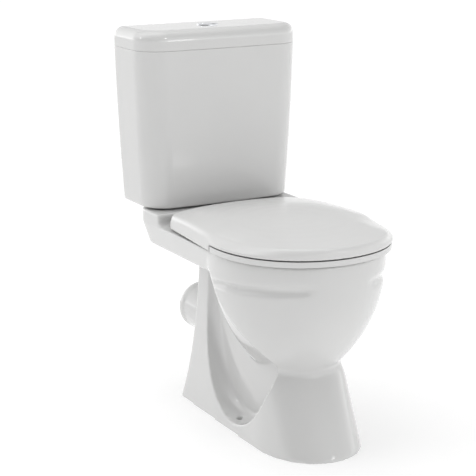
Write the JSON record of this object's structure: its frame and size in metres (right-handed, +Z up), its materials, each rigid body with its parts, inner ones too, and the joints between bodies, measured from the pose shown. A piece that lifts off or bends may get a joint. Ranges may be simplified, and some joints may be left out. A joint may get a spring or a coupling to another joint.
{
  "type": "close coupled toilet",
  "caption": "Close coupled toilet with horizontal outlet pan, tapered cistern, dual push button, and hinged seat ring and domed seat lid.",
  "frame": {"origin": "on the floor under the middle of the whole object's outline", "axes": "+Z up, -Y towards the user at the front, +X to the right of someone facing the back from the front"},
  "size_m": [0.374, 0.645, 0.8033],
  "materials": {
    "glazed_china": "white vitreous glaze",
    "seat_plastic": "white moulded gloss",
    "chrome": "polished chrome plate",
    "pad_rubber": "pale soft rubber",
    "black_rubber": "matt black rubber",
    "hinge_steel": "stainless steel",
    "zinc_steel": "zinc plated steel",
    "nut_plastic": "white moulded nylon",
    "valve_plastic": "pale grey moulded plastic",
    "core_plastic": "blue moulded plastic",
    "float_plastic": "dark moulded plastic"
  },
  "bodies": {
    "fixed_ware": {"pan": "glazed_china", "cistern": "glazed_china", "cistern_lid": "glazed_china", "hinge_posts": "chrome", "hinge_pins": "hinge_steel", "hinge_studs": "hinge_steel", "hinge_washers": "black_rubber", "hinge_wing_nuts": "nut_plastic", "coupling_bolts": "zinc_steel", "coupling_seals": "black_rubber", "coupling_washers": "zinc_steel", "coupling_wing_nuts": "zinc_steel", "cistern_pads": "black_rubber", "doughnut_seal": "black_rubber", "flush_valve_base": "valve_plastic", "flush_valve_washer": "black_rubber", "flush_valve_backnut": "nut_plastic", "flush_valve_cage": "valve_plastic", "flush_valve_bridge": "valve_plastic", "lever_pin": "hinge_steel", "button_bezel": "chrome", "full_flush_spring": "hinge_steel", "half_flush_spring": "hinge_steel", "button_lock_nut": "nut_plastic", "fill_valve_body": "valve_plastic", "fill_valve_washer": "black_rubber", "fill_valve_backnut": "nut_plastic", "fill_valve_cap": "valve_plastic", "fill_lever_pin": "hinge_steel"},
    "seat": {"seat_ring": "seat_plastic", "seat_buffers": "pad_rubber"},
    "lid": {"seat_lid": "seat_plastic", "lid_buffers": "pad_rubber"},
    "full_button": {"full_flush_button": "chrome", "full_flush_rod": "core_plastic"},
    "half_button": {"half_flush_button": "chrome", "half_flush_rod": "nut_plastic"},
    "full_lever": {"full_flush_lever": "core_plastic"},
    "half_lever": {"half_flush_lever": "nut_plastic"},
    "valve_core": {"overflow_tube": "core_plastic", "valve_seal": "black_rubber"},
    "float_sleeve": {"half_flush_sleeve": "nut_plastic", "valve_float": "float_plastic"},
    "inlet_float": {"fill_float": "float_plastic", "fill_link_rod": "hinge_steel"},
    "inlet_lever": {"fill_lever": "nut_plastic"}
  },
  "joints": [
    {"name": "seat_hinge", "type": "hinge", "parent": "fixed_ware", "child": "seat", "pos_m": [0, 0.1015, 0.415], "axis": [-1, 0, 0], "range_deg": [0, 93]},
    {"name": "lid_hinge", "type": "hinge", "parent": "seat", "child": "lid", "pos_m": [0, 0.1015, 0.415], "axis": [1, 0, 0], "range_deg": [-93, 0]},
    {"name": "full_flush_press", "type": "slide", "parent": "fixed_ware", "child": "full_button", "axis": [0, 0, -1], "range_m": [0, 0.007], "stiffness_N_per_m": 350, "springref_m": -0.012, "deforming": ["full_flush_spring"]},
    {"name": "half_flush_press", "type": "slide", "parent": "fixed_ware", "child": "half_button", "axis": [0, 0, -1], "range_m": [0, 0.007], "stiffness_N_per_m": 350, "springref_m": -0.012, "deforming": ["half_flush_spring"]},
    {"name": "full_lever_turn", "type": "hinge", "parent": "fixed_ware", "child": "full_lever", "pos_m": [0, 0.2225, 0.69], "axis": [-1, 0, 0], "range_deg": [0, 25.3]},
    {"name": "half_lever_turn", "type": "hinge", "parent": "fixed_ware", "child": "half_lever", "pos_m": [0, 0.2225, 0.69], "axis": [-1, 0, 0], "range_deg": [0, 25.3]},
    {"name": "core_lift", "type": "slide", "parent": "fixed_ware", "child": "valve_core", "axis": [0, 0, 1], "range_m": [0, 0.0073]},
    {"name": "sleeve_lift", "type": "slide", "parent": "valve_core", "child": "float_sleeve", "axis": [0, 0, 1], "range_m": [0, 0.0073]},
    {"name": "inlet_float_rise", "type": "slide", "parent": "fixed_ware", "child": "inlet_float", "axis": [0, 0, 1], "range_m": [0, 0.012]},
    {"name": "inlet_lever_turn", "type": "hinge", "parent": "fixed_ware", "child": "inlet_lever", "pos_m": [0.152, 0.2765, 0.724], "axis": [0, 1, 0], "range_deg": [0, 19.3]}
  ],
  "couplings": [
    {"joint": "full_lever_turn", "follows": "full_flush_press", "rad_per_m": 62.857},
    {"joint": "core_lift", "follows": "full_flush_press", "ratio": 1.0344},
    {"joint": "half_lever_turn", "follows": "half_flush_press", "rad_per_m": 62.857},
    {"joint": "sleeve_lift", "follows": "half_flush_press", "ratio": 1.0344},
    {"joint": "inlet_lever_turn", "follows": "inlet_float_rise", "rad_per_m": 27.8}
  ]
}
